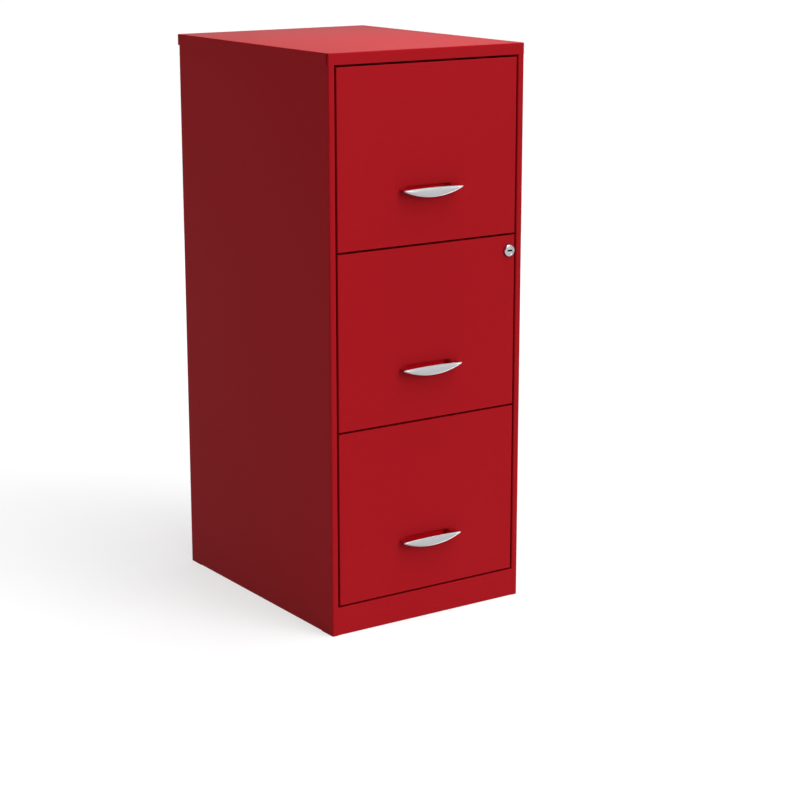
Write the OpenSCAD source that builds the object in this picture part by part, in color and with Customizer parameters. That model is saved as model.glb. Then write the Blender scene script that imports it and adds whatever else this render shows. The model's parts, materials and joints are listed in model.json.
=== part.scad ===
// Three-drawer vertical filing cabinet in folded steel sheet.
// Frame: +Z up, the drawers open towards -Y, origin at the bottom centre of the
// whole box, pulls included. Every module below is drawn with its front face
// plane at y = 0 and its depth towards +Y, and is then shifted to its place.

/* [Cabinet] */
// Overall width, over the top cap
cabinet_w = 361.95; // [340:0.5:420]
// Overall depth of the body, front face to the cap's rear skirt
cabinet_d = 457.2; // [445:0.5:520]
// Overall height
cabinet_h = 901.7; // [901.7:0.5:960]
// Thickness of the case sheet
sheet = 0.6; // [0.5:0.1:1]
// How far the cap stands out past the side panels
cap_overhang = 1.3; // [1.1:0.1:2]
// Width of the front stiles
stile_w = 10.8; // [10.8:0.1:14]
// Depth of the stiles' inner returns
return_d = 34; // [30:1:34]
// Height of the kick plate
kick_h = 45.5; // [40:0.5:60]
// Height of the header, the cap's front skirt
header_h = 18; // [14:0.5:24]
// Height of the cap's side and rear skirts
skirt_h = 18; // [14:0.5:24]
// Length of the header's return round each front corner
header_return = 4.6; // [3:0.1:6]

/* [Drawers] */
// Gap around each drawer front
front_gap = 3; // [2:0.1:4]
// Depth of the folded drawer front
front_d = 19; // [19:0.5:20]
// Outside width of the drawer tray
tray_w = 312; // [300:1:314]
// Height of the tray's sides
tray_h = 235; // [180:1:240]
// Height of the drawer's back
back_h = 200; // [120:1:220]
// Rear end of the tray, behind the front face
tray_end = 425; // [425:1:430]
// How far each drawer opens
travel = 330; // [250:1:330]

/* [Runners] */
// Height of the runners above a drawer front's lower edge
runner_z = 92; // [60:1:140]
// Radius of the rollers
roller_r = 10; // [10:0.5:10.5]
// Width of the rollers
roller_w = 8; // [6:0.5:8]
// Radius of the pins that the rollers turn on
roller_pin_r = 2.5; // [2:0.1:3]
// Radial clearance between a roller and its pin
roller_clear = 0.05; // [0.03:0.01:0.1]

/* [Pulls] */
// Width of a pull between its two tips
pull_w = 109; // [90:1:130]
// Height of a pull's tips above the drawer front's lower edge
pull_z = 85; // [70:0.5:110]
// How far the crescent's upper edge rises above its tips
pull_rise = 2.7; // [2:0.1:4]
// How far the crescent's lower edge hangs below its tips
pull_sag = 12.4; // [10:0.1:16]
// How far a pull stands out from the drawer front
pull_proj = 14.5; // [12:0.5:18]
// Thickness of the silver face
pull_face_t = 1.4; // [1:0.1:2]
// Depth of the finger cup behind the drawer front
cup_d = 12; // [8:0.5:15]
// Width of the finger cup
cup_w = 86; // [70:1:92]
// How far the cup's upper edge stands above the tips
cup_rise = 6.5; // [4:0.1:8]

/* [Lock] */
// Distance of the lock's axis from the drawer front's right edge
lock_edge = 12; // [11.5:0.5:13]
// Distance of the lock's axis from the drawer front's upper edge
lock_top = 24; // [23.5:0.1:24.5]
// Radius of the lock's visible ring
lock_ring_r = 9.6; // [9:0.1:10]
// How far the lock stands out from the drawer front
lock_proj = 4; // [3:0.1:5]
// Radius of the lock's barrel behind the drawer front
lock_barrel_r = 8; // [7.5:0.1:8]
// Radius of the turning core
lock_core_r = 6.2; // [5.5:0.1:6.5]
// Length of the cam from the lock's axis
cam_len = 27.4; // [26.5:0.1:27.5]

/* [Hidden] */
DRAWERS = ["bottom", "middle", "top"];
SIDES = ["left", "right"];
LOCKED_DRAWER = 1;

$fn = 64;
cut = 1;                                          // how far a cutter runs past what it cuts

// Case, worked out from the outside in
front_y = (pull_proj - cabinet_d) / 2;            // places the front face so that Y is centred
half_w = cabinet_w / 2;
side_x = half_w - cap_overhang;                   // outer face of a side panel
jamb_x = side_x - stile_w;                        // edge of the opening for the drawers
rear_gap = 0.2;                                   // between the body and the cap's rear skirt
body_d = cabinet_d - sheet - rear_gap;
case_top = cabinet_h - header_h;                  // lower edge of the header, top of the stiles
seam = 0.4;                                       // gap between the cap's skirts and what they meet
bend_r = 1.6;                                     // outer radius of the folds
back_inset = 2;                                   // back panel's edges inside the body's outline
floor_flange = 20;                                // width of the flanges that stand on the floor

// Drawer fronts: equal, with a gap above, between and below them
front_w = 2 * (jamb_x - front_gap);
front_h = (case_top - kick_h - 4 * front_gap) / 3;
function front_z(i) = kick_h + front_gap + i * (front_h + front_gap);

// Trays and cross rails
tray_x = tray_w / 2;
tray_lift = 3;                                    // tray's floor above the front's lower edge
hem = 10;                                         // height of the tray's hanging rail
rail_gap = 0.9;                                   // between the fronts and the cross rails behind them
rail_y = front_d + rail_gap;
rail_d = 25;
rail_lip = 10.5;
rail_drop = 17.5;
rail_clear = 1.3;                                 // between a cross rail and the tray above it

// Runners: a channel on the case and an angle on the tray, with one roller on each
gauge = 1;                                        // thickness of the runners
roller_gap = 0.1;                                 // between a roller and what it carries
channel_h = 25;
channel_tab = 14;                                 // how far its web laps each return
channel_notch = 2;                                // its flanges stop short of the returns
channel_y = [return_d - channel_tab, body_d - return_d + channel_tab];
channel_flange_y = [return_d + channel_notch, body_d - return_d - channel_notch];
channel_x = jamb_x + sheet;                       // inner face of the channel's web
channel_lip_x = tray_x + 3;                       // inner edge of its flanges
angle_flange = 10.5;
angle_x = tray_x + angle_flange;
angle_front = front_d + 0.5;
end_gap = 2;                                      // between the angle's flange and its roller
roller_z = gauge + roller_gap + roller_r;         // roller centre above the channel's floor
cabinet_roller_y = 50;
stop_gap = 3;                                     // between the rollers when a drawer is fully open
drawer_roller_y = cabinet_roller_y + travel + 2 * roller_r + stop_gap;
angle_y = [angle_front, drawer_roller_y - roller_r - end_gap];
angle_web_end = drawer_roller_y + roller_r + end_gap;
angle_web_drop = 8;                               // angle's web below the roller centre
pin_head_r = 4.5;
pin_head_t = 1.2;
roller_dish = 1.2;
roller_rim = 2;
roller_hub = 1.8;
collar_r = roller_pin_r + 1.2;
collar_t = [1.2, 0.7];                            // collars on the case's pins and on the drawers'
pin_slack = 0.3;                                  // a roller's end play on its pin
cabinet_roller_x = channel_x - collar_t[0] - pin_slack - roller_w;
drawer_roller_x = tray_x + gauge + collar_t[1] + pin_slack;

// Pull: circles through the tips give the crescent's two edges
pull_half = pull_w / 2;
rise_r = (pull_half * pull_half + pull_rise * pull_rise) / (2 * pull_rise);
sag_r = (pull_half * pull_half + pull_sag * pull_sag) / (2 * pull_sag);
pull_body_d = pull_proj - pull_face_t;            // the body in front of the drawer front
pull_wall = 2;
pull_face_step = 0.5;                             // silver face's front step inside its outline
arc_fn = 720;                                     // facets of the long flat arcs
cup_wall = 1.6;
cup_clear = 0.2;                                  // between the cup and the drawer front's opening
cup_drop = 7;                                     // cup's floor below the tips
cup_corner_r = 5;

// Lock
lock_x = front_w / 2 - lock_edge;
lock_z = front_z(LOCKED_DRAWER) + front_h - lock_top;
barrel_len = 20;
core_clear = 0.06;
core_sink = 0.3;                                  // core's face inside the ring
cam_gap = 1.6;                                    // between the housing and the cam
cam_y = barrel_len + cam_gap;
cam_t = 2;
cam_r = 5;
cam_hub_r = 7;
slot_w = 9.4;                                     // key slot
slot_h = 1.9;
slot_d = 6;
clip_y = sheet;
clip_t = 1.5;
clip_clear = 1.3;                                 // between the clip and the front's side fold
clip_r = lock_edge - clip_clear;
clip_bite = 0.8;
clip_seat_r = lock_barrel_r - clip_bite;

red = [0.60, 0.07, 0.09];
zinc = [0.70, 0.71, 0.73];
nylon = [0.90, 0.90, 0.86];
silver = [0.78, 0.78, 0.80];
chrome = [0.85, 0.85, 0.87];

// ---- helpers ----------------------------------------------------------------

// Moves a piece drawn from the front face plane to its place in the frame
module placed(z = 0) {
    translate([0, front_y, z]) children();
}

// A box given by its two opposite corners
module block(low, high) {
    translate(low) cube(high - low);
}

// Mirrors its children to the left of the cabinet, or leaves them on the right
module on_side(left) {
    mirror([left ? 1 : 0, 0, 0]) children();
}

// A rod or a disc along X
module rod_x(x, y, z, r, len) {
    translate([x, y, z]) rotate([0, 90, 0]) cylinder(r = r, h = len);
}

// A rod or a disc along Y
module rod_y(x, y, z, r, len) {
    translate([x, y, z]) rotate([-90, 0, 0]) cylinder(r = r, h = len);
}

// Stands an outline drawn in X and Z upright, thickened towards +Y
module upright(y, d) {
    translate([0, y + d, 0]) rotate([90, 0, 0]) linear_extrude(d) children();
}

// ---- case -------------------------------------------------------------------

// Outline of the fold between the side panel's skin and its stile
module side_bend() {
    intersection() {
        translate([side_x - bend_r, bend_r]) difference() {
            circle(r = bend_r);
            circle(r = bend_r - sheet);
        }
        translate([side_x - bend_r, 0]) square(bend_r);
    }
}

// Side panel: the skin, the front stile and its return, the rear strip and its return
module side_panel(left) {
    color(red) placed() on_side(left) {
        linear_extrude(case_top) {
            translate([jamb_x, 0]) square([sheet, return_d]);
            translate([jamb_x, 0]) square([stile_w - bend_r, sheet]);
            side_bend();
            translate([side_x - sheet, bend_r]) square([sheet, body_d - bend_r]);
            translate([jamb_x, body_d - 2 * sheet]) square([stile_w - sheet, sheet]);
            translate([jamb_x, body_d - return_d]) square([sheet, return_d - sheet]);
        }
        // the skin runs on up inside the cap's side skirt
        block([side_x - sheet, header_return + seam, case_top],
              [side_x, body_d, cabinet_h - sheet]);
        // flange that stands on the floor
        block([side_x - floor_flange, return_d, 0], [side_x - sheet, body_d - return_d, sheet]);
    }
}

// Back: a flat sheet over the side panels' rear strips, under the cap's rear skirt
module back_panel() {
    color(red) placed()
        block([-side_x + back_inset, body_d - sheet, back_inset],
              [side_x - back_inset, body_d, cabinet_h - sheet]);
}

// Cap: top sheet, side and rear skirts, and the header with its ledge and corner returns
module top_cap() {
    color(red) placed(cabinet_h) {
        block([-half_w, 0, -sheet], [half_w, cabinet_d, 0]);
        block([-half_w, cabinet_d - sheet, -skirt_h], [half_w, cabinet_d, -sheet]);
        block([-side_x, 0, -header_h], [side_x, sheet, -sheet]);
        block([-jamb_x, sheet, -header_h], [jamb_x, front_d, -header_h + sheet]);
        for (left = [false, true]) on_side(left) {
            block([half_w - sheet, header_return + seam, -skirt_h], [half_w, cabinet_d, -sheet]);
            block([side_x - sheet, sheet, -header_h], [side_x, header_return, -sheet]);
        }
    }
}

// Kick plate: face, top ledge under the bottom drawer, and a foot on the floor
module kick_plate() {
    color(red) placed() {
        block([-jamb_x, 0, 0], [jamb_x, sheet, kick_h]);
        block([-jamb_x, sheet, kick_h - sheet], [jamb_x, front_d, kick_h]);
        block([-jamb_x, sheet, 0], [jamb_x, floor_flange, sheet]);
    }
}

// Base rail: an angle across the rear, on the floor
module base_rail() {
    color(red) placed() {
        block([-jamb_x, body_d - 2 * sheet, 0], [jamb_x, body_d - sheet, kick_h]);
        block([-jamb_x, body_d - return_d, 0], [jamb_x, body_d - 2 * sheet, sheet]);
    }
}

// Cross rail above drawer i: a channel, open below, whose front lip catches the cam
module cross_rail(i) {
    top = tray_lift - rail_clear;
    color(red) placed(front_z(i + 1) + top) {
        block([-jamb_x, rail_y, -rail_lip], [jamb_x, rail_y + sheet, 0]);
        block([-jamb_x, rail_y + sheet, -sheet], [jamb_x, rail_y + rail_d, 0]);
        block([-jamb_x, rail_y + rail_d - sheet, -rail_drop], [jamb_x, rail_y + rail_d, -sheet]);
    }
}

// Cabinet rail: a channel whose web is fixed to the side panel's two returns
module cabinet_rail(i, left) {
    color(zinc) placed(front_z(i) + runner_z) on_side(left) difference() {
        union() {
            block([channel_x, channel_y[0], 0], [channel_x + gauge, channel_y[1], channel_h]);
            for (z = [0, channel_h - gauge])
                block([channel_lip_x, channel_flange_y[0], z],
                      [channel_x, channel_flange_y[1], z + gauge]);
        }
        rod_x(channel_x - cut, cabinet_roller_y, roller_z, roller_pin_r, gauge + 2 * cut);
    }
}

// ---- rollers ----------------------------------------------------------------

// Roller: a wheel dished between its hub and its rim, with a bore for its pin
module roller(x, y) {
    color(nylon) difference() {
        rod_x(x, y, 0, roller_r, roller_w);
        rod_x(x - cut, y, 0, roller_pin_r + roller_clear, roller_w + 2 * cut);
        for (face = [x - cut, x + roller_w - roller_dish]) difference() {
            rod_x(face, y, 0, roller_r - roller_rim, roller_dish + cut);
            rod_x(face - cut, y, 0, roller_pin_r + roller_hub, roller_dish + 3 * cut);
        }
    }
}

module cabinet_roller(i, left) {
    placed(front_z(i) + runner_z + roller_z) on_side(left)
        roller(cabinet_roller_x, cabinet_roller_y);
}

module drawer_roller(i, left) {
    placed(front_z(i) + runner_z + roller_z) on_side(left)
        roller(drawer_roller_x, drawer_roller_y);
}

// Pins of the cabinet's rollers: shank through the channel's web, head on the inside
module cabinet_roller_pins() {
    head_x = cabinet_roller_x - pin_slack - pin_head_t;
    color(zinc) for (i = [0:2], left = [false, true])
        placed(front_z(i) + runner_z + roller_z) on_side(left) {
            rod_x(head_x, cabinet_roller_y, 0, roller_pin_r, channel_x + gauge - head_x);
            rod_x(head_x, cabinet_roller_y, 0, pin_head_r, pin_head_t);
            rod_x(channel_x - collar_t[0], cabinet_roller_y, 0, collar_r, collar_t[0]);
        }
}

// Pins of one drawer's rollers: shank out of the angle's web, head on the outside
module drawer_roller_pins(i) {
    head_x = drawer_roller_x + roller_w + pin_slack;
    color(zinc) for (left = [false, true])
        placed(front_z(i) + runner_z + roller_z) on_side(left) {
            rod_x(tray_x, drawer_roller_y, 0, roller_pin_r, head_x + pin_head_t - tray_x);
            rod_x(head_x, drawer_roller_y, 0, pin_head_r, pin_head_t);
            rod_x(tray_x + gauge, drawer_roller_y, 0, collar_r, collar_t[1]);
        }
}

// ---- drawers ----------------------------------------------------------------

// Drawer front: a folded pan, with an opening for the cup and a hole for the lock
module drawer_front(i) {
    half = front_w / 2;
    color(red) placed(front_z(i)) difference() {
        block([-half, 0, 0], [half, front_d, front_h]);
        block([-half + sheet, sheet, sheet], [half - sheet, front_d + cut, front_h - sheet]);
        upright(-cut, sheet + 2 * cut) cup_outline(0);
        if (i == LOCKED_DRAWER)
            rod_y(lock_x, -cut, lock_z - front_z(i), lock_barrel_r, sheet + 2 * cut);
    }
}

// Liner: the inner front panel, inside the front's folds
module drawer_front_liner(i) {
    half = front_w / 2 - sheet;
    color(red) placed(front_z(i)) difference() {
        block([-half, front_d - sheet, sheet], [half, front_d, front_h - sheet]);
        if (i == LOCKED_DRAWER)
            rod_y(lock_x, front_d - 2 * sheet, lock_z - front_z(i), lock_barrel_r, 3 * sheet);
    }
}

// Tray: floor and high sides folded from one sheet, with a hem that hanging files ride on
module drawer_tray(i) {
    color(red) placed(front_z(i) + tray_lift) upright(front_d, tray_end - front_d) {
        translate([-tray_x, 0]) square([tray_w, sheet]);
        for (left = [0, 1]) mirror([left, 0]) {
            translate([tray_x - sheet, 0]) square([sheet, tray_h]);
            translate([tray_x, tray_h - hem]) square([sheet, hem]);
        }
    }
}

// Back of the drawer, between the tray's sides
module drawer_back(i) {
    color(red) placed(front_z(i) + tray_lift)
        block([-tray_x + sheet, tray_end - sheet, sheet], [tray_x - sheet, tray_end, back_h]);
}

// Drawer rail: an angle on the tray's side, whose flange runs over the cabinet's roller
module drawer_rail(i, left) {
    under = roller_z + roller_r + roller_gap;
    color(zinc) placed(front_z(i) + runner_z) on_side(left) difference() {
        union() {
            block([tray_x, angle_y[0], roller_z - angle_web_drop], [tray_x + gauge, angle_web_end, under + gauge]);
            block([tray_x + gauge, angle_y[0], under], [angle_x, angle_y[1], under + gauge]);
        }
        rod_x(tray_x - cut, drawer_roller_y, roller_z, roller_pin_r, gauge + 2 * cut);
    }
}

// ---- pulls ------------------------------------------------------------------

// Crescent between two arcs that meet at the tips; a negative grow makes it smaller
module crescent(grow = 0) {
    translate([0, pull_z]) intersection() {
        translate([0, pull_rise - rise_r]) circle(r = rise_r + grow, $fn = arc_fn);
        translate([0, sag_r - pull_sag]) circle(r = sag_r + grow, $fn = arc_fn);
    }
}

// Outline of the cup, a rectangle with round corners
module cup_outline(grow) {
    r = cup_corner_r + grow;
    half = cup_w / 2 + grow;
    low = pull_z - cup_drop - grow;
    high = pull_z + cup_rise + grow;
    translate([-half, low + r]) square([2 * half, high - low - 2 * r]);
    translate([-half + r, low]) square([2 * (half - r), high - low]);
    for (x = [-half + r, half - r], z = [low + r, high - r]) translate([x, z]) circle(r = r);
}

// Pull: crescent body in front of the drawer front, hollowed from above into the cup
module drawer_pull(i) {
    color(red) placed(front_z(i)) difference() {
        union() {
            upright(-pull_body_d, pull_body_d) crescent();
            upright(0, cup_d) cup_outline(-cup_clear);
        }
        // the hollow stops at the front wall, the cup's sides and its back
        upright(-pull_body_d + pull_wall, pull_body_d - pull_wall + cup_d - cup_wall)
            cup_outline(-cup_wall);
        // in front of the drawer front the hollow is open above
        block([-cup_w / 2 + cup_wall, -pull_body_d + pull_wall, pull_z],
              [cup_w / 2 - cup_wall, 0, pull_z + pull_rise + cut]);
    }
}

// Silver crescent on the front of the pull
module drawer_pull_face(i) {
    color(silver) placed(front_z(i)) {
        upright(-pull_proj + pull_face_t / 2, pull_face_t / 2) crescent();
        upright(-pull_proj, pull_face_t / 2) crescent(-pull_face_step);
    }
}

// ---- lock -------------------------------------------------------------------

// Housing: visible ring, barrel through the drawer front, and a bore for the core
module lock_housing() {
    color(chrome) placed(lock_z) difference() {
        union() {
            rod_y(lock_x, -lock_proj, 0, lock_ring_r, lock_proj);
            rod_y(lock_x, 0, 0, lock_barrel_r, barrel_len);
        }
        rod_y(lock_x, -lock_proj - cut, 0, lock_core_r + core_clear, lock_proj + barrel_len + 2 * cut);
        // groove that the clip sits in
        difference() {
            rod_y(lock_x, clip_y, 0, lock_barrel_r + cut, clip_t);
            rod_y(lock_x, clip_y - cut, 0, clip_seat_r, clip_t + 2 * cut);
        }
    }
}

// Horseshoe clip: pushed on from below, it holds the housing behind the drawer front
module lock_clip() {
    color(zinc) placed(lock_z) upright(clip_y, clip_t) translate([lock_x, 0]) difference() {
        union() {
            circle(r = clip_r);
            translate([-clip_r, -clip_r]) square([2 * clip_r, clip_r]);
        }
        circle(r = clip_seat_r);
        translate([-clip_seat_r, -clip_r - cut]) square([2 * clip_seat_r, clip_r + cut]);
    }
}

// Core: turns in the housing, with the key slot across its face
module lock_core() {
    color(chrome) placed(lock_z) difference() {
        rod_y(lock_x, -lock_proj + core_sink, 0, lock_core_r, lock_proj - core_sink + cam_y);
        block([lock_x - slot_w / 2, -lock_proj - cut, -slot_h / 2],
              [lock_x + slot_w / 2, -lock_proj + slot_d, slot_h / 2]);
    }
}

// Cam: points inwards when unlocked, and turns up behind the cross rail's lip to lock
module lock_cam() {
    color(zinc) placed(lock_z) upright(cam_y, cam_t) translate([lock_x, 0]) {
        circle(r = cam_hub_r);
        translate([-cam_len + cam_r, -cam_r]) square([cam_len - cam_r, 2 * cam_r]);
        translate([-cam_len + cam_r, 0]) circle(r = cam_r);
    }
}

// ---- nodes ------------------------------------------------------------------

side_panel(true);  // left_side_panel
side_panel(false);  // right_side_panel
back_panel();
top_cap();
kick_plate();
base_rail();
cross_rail(0);  // lower_cross_rail
cross_rail(1);  // upper_cross_rail
cabinet_roller_pins();
lock_housing();
lock_clip();
lock_core();
lock_cam();

for (i = [0:2]) {
    drawer_front(i);
    drawer_front_liner(i);
    drawer_tray(i);
    drawer_back(i);
    drawer_pull(i);
    drawer_pull_face(i);
    drawer_roller_pins(i);
    for (s = [0:1]) {
        tail = str("_", DRAWERS[i]);
        cabinet_rail(i, s == 0);
        cabinet_roller(i, s == 0);
        drawer_rail(i, s == 0);
        drawer_roller(i, s == 0);
    }
}
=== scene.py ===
"""A three-drawer filing cabinet in red powder-coated steel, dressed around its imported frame.

The frame gives every size and place. The folded sheets, pulls, lock and runners are modelled here
with their real bends, rims and turned edges. Every length is in millimetres until Bench lays it out.
"""

import json
import logging
import math
from dataclasses import dataclass
from enum import Enum
from typing import Any, Callable

import bmesh
import bpy
from mathutils import Euler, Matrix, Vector


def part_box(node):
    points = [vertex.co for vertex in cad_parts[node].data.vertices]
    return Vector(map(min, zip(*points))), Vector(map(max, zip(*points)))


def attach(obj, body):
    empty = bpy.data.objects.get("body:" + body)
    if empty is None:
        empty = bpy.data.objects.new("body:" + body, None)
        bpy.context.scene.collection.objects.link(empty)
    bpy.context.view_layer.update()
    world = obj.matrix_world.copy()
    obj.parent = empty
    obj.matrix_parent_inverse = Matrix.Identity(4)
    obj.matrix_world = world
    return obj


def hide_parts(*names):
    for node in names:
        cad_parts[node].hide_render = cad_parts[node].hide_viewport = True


LOG = logging.getLogger("cabinet")
MM = 0.001  # metres
NEAR = 0.02  # places closer than this are the same
PAST = 1.0  # how far a cutting tool reaches past the skin that it cuts
SHARP = 30.0  # degrees that make an edge a fold
MIDDLE = 0.5  # the value that a noise swings about

Colour = tuple[float, float, float]
Point = tuple[float, float, float]
Span = float | tuple[float, float]
Outline = list[tuple[float, float]]
Place = Callable[[float, float, int], tuple[float, float]]
Test = Callable[[list[Vector]], bool]

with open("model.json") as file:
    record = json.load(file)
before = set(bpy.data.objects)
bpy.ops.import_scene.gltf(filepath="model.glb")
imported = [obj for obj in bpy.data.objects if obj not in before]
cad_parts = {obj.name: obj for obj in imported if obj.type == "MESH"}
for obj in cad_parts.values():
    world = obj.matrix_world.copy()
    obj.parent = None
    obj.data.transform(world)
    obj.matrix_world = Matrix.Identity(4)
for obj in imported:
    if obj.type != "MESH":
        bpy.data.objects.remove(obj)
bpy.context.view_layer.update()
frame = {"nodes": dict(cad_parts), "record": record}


# ---------------------------------------------------------------- shader maths


class Wire:
    """One output of a node tree that takes part in arithmetic."""

    def __init__(self, shop: "NodeShop", socket: Any) -> None:
        """Keeps the shop that holds the tree and the output socket."""
        self.shop = shop
        self.socket = socket

    def _maths(self, operation: str, first: Any, second: Any) -> "Wire":
        """Adds one Math node on two values and returns its result."""
        return self.shop.node("ShaderNodeMath", {"operation": operation}, {0: first, 1: second})

    def __add__(self, other: Any) -> "Wire":
        """Adds a value."""
        return self._maths("ADD", self, other)

    __radd__ = __add__

    def __sub__(self, other: Any) -> "Wire":
        """Subtracts a value."""
        return self._maths("SUBTRACT", self, other)

    def __rsub__(self, other: Any) -> "Wire":
        """Is subtracted from a value."""
        return self._maths("SUBTRACT", other, self)

    def __mul__(self, other: Any) -> "Wire":
        """Multiplies by a value."""
        return self._maths("MULTIPLY", self, other)

    __rmul__ = __mul__


class NodeShop:
    """Makes the nodes of one material around a Principled shader."""

    BLEND, FIRST, SECOND, BLENDED = 0, 6, 7, 2  # the Mix node's sockets when it mixes colours

    def __init__(self, name: str) -> None:
        """Starts a material.

        Args:
            name: the material's name.
        """
        self.material = bpy.data.materials.new(name)
        self.material.use_nodes = True
        self.tree = self.material.node_tree
        self.tree.nodes.clear()
        out = self.tree.nodes.new("ShaderNodeOutputMaterial")
        self.shader = self.tree.nodes.new("ShaderNodeBsdfPrincipled")
        self.tree.links.new(self.shader.outputs["BSDF"], out.inputs["Surface"])

    def feed(self, socket: Any, value: Any) -> None:
        """Links a wire to a socket, or sets the socket to a plain value.

        Args:
            socket: an input of some node.
            value: a wire, or what the socket is set to.
        """
        if isinstance(value, Wire):
            self.tree.links.new(value.socket, socket)
        else:
            socket.default_value = value

    def set(self, **sockets: Any) -> None:
        """Feeds the shader's sockets, named with _ for each space."""
        for name, value in sockets.items():
            self.feed(self.shader.inputs[name.replace("_", " ")], value)

    def node(self, kind: str, settings: dict[str, Any], inputs: dict[Any, Any], out: Any = 0) -> Wire:
        """Adds a node.

        Args:
            kind: the node's type.
            settings: its own settings, which are set first.
            inputs: a value or a wire for each named or numbered socket.
            out: the name or number of the output that is wanted.

        Returns:
            That output.
        """
        made = self.tree.nodes.new(kind)
        for key, value in settings.items():
            setattr(made, key, value)
        for key, value in inputs.items():
            self.feed(made.inputs[key], value)
        return Wire(self, made.outputs[out])

    def noise(self, scale: float, detail: float = 2.0) -> Wire:
        """Adds a noise over the object's own coordinates.

        Args:
            scale: how many swells there are in a metre.
            detail: how many finer layers lie on it.

        Returns:
            The noise, between 0 and 1.
        """
        place = self.node("ShaderNodeTexCoord", {}, {}, "Object")
        return self.node("ShaderNodeTexNoise", {}, {"Vector": place, "Scale": scale, "Detail": detail})

    def mix(self, factor: Wire, low: Colour, high: Colour) -> Wire:
        """Blends two colours by a factor."""
        ends = {self.BLEND: factor, self.FIRST: (*low, 1.0), self.SECOND: (*high, 1.0)}
        return self.node("ShaderNodeMix", {"data_type": "RGBA"}, ends, self.BLENDED)

    def bump(self, height: Wire, tall: float) -> Wire:
        """Turns a height between 0 and 1 into a normal; tall is in millimetres."""
        return self.node("ShaderNodeBump", {}, {"Strength": 1.0, "Distance": tall * MM, "Height": height})


# ---------------------------------------------------------------- finishes


@dataclass(frozen=True)
class PowderCoat:
    """Powder baked on steel: an even colour with a fine orange peel."""

    name: str
    colour: Colour
    deep: Colour
    roughness: float = 0.42
    specular: float = 0.02
    drift_scale: float = 2.5
    drift_share: float = 0.5
    drift_gloss: float = 0.10
    peel_scale: float = 420.0
    peel_height: float = 0.012
    dust_scale: float = 2600.0
    dust_gloss: float = 0.06
    dust_share: float = 0.25

    def material(self) -> bpy.types.Material:
        """Builds the finish.

        Returns:
            Its material.
        """
        shop = NodeShop(self.name)
        drift, peel = shop.noise(self.drift_scale), shop.noise(self.peel_scale)
        dust = shop.noise(self.dust_scale, detail=1.0)
        blend = self.drift_share * drift + (1.0 - self.drift_share) * peel
        gloss = self.drift_gloss * (drift - MIDDLE) + self.dust_gloss * (dust - MIDDLE)
        shop.set(Base_Color=shop.mix(blend, self.deep, self.colour))
        shop.set(Roughness=self.roughness + gloss)
        shop.set(Normal=shop.bump(peel + self.dust_share * dust, self.peel_height))
        shop.set(Specular_IOR_Level=self.specular)
        return shop.material


@dataclass(frozen=True)
class Moulding:
    """Moulded plastic: a grain far finer than powder, and a softer or harder gloss."""

    name: str
    colour: Colour
    deep: Colour
    roughness: float
    specular: float = 0.5
    flow_scale: float = 35.0
    flow_share: float = 0.7
    grain_scale: float = 900.0
    grain_gloss: float = 0.08
    grain_height: float = 0.006

    def material(self) -> bpy.types.Material:
        """Builds the finish.

        Returns:
            Its material.
        """
        shop = NodeShop(self.name)
        flow, grain = shop.noise(self.flow_scale, detail=3.0), shop.noise(self.grain_scale)
        blend = self.flow_share * flow + (1.0 - self.flow_share) * grain
        shop.set(Base_Color=shop.mix(blend, self.deep, self.colour))
        shop.set(Roughness=self.roughness + self.grain_gloss * (grain - MIDDLE))
        shop.set(Normal=shop.bump(grain, self.grain_height))
        shop.set(Specular_IOR_Level=self.specular)
        return shop.material


@dataclass(frozen=True)
class Metal:
    """Bare or plated metal, with a fine grain and cloudy patches."""

    name: str
    colour: Colour
    deep: Colour
    roughness: float
    metallic: float = 1.0
    grain_scale: float = 700.0
    grain_gloss: float = 0.10
    grain_height: float = 0.003
    patch_scale: float = 60.0
    patch_share: float = 0.6
    patch_gloss: float = 0.12

    def material(self) -> bpy.types.Material:
        """Builds the finish.

        Returns:
            Its material.
        """
        shop = NodeShop(self.name)
        patch, grain = shop.noise(self.patch_scale, detail=3.0), shop.noise(self.grain_scale)
        blend = self.patch_share * patch + (1.0 - self.patch_share) * grain
        gloss = self.patch_gloss * (patch - MIDDLE) + self.grain_gloss * (grain - MIDDLE)
        shop.set(Base_Color=shop.mix(blend, self.deep, self.colour))
        shop.set(Roughness=self.roughness + gloss)
        shop.set(Normal=shop.bump(grain, self.grain_height))
        shop.set(Metallic=self.metallic)
        return shop.material


@dataclass(frozen=True)
class Seamless:
    """A pale studio floor that is lit from within a little, which keeps the shadows on it faint."""

    name: str
    colour: Colour
    deep: Colour
    glow: float
    roughness: float = 0.75
    specular: float = 0.1
    drift_scale: float = 3.0

    def material(self) -> bpy.types.Material:
        """Builds the finish.

        Returns:
            Its material.
        """
        shop = NodeShop(self.name)
        shop.set(Base_Color=shop.mix(shop.noise(self.drift_scale), self.deep, self.colour))
        shop.set(Roughness=self.roughness, Specular_IOR_Level=self.specular)
        shop.set(Emission_Color=(1.0, 1.0, 1.0, 1.0), Emission_Strength=self.glow)
        return shop.material


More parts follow.
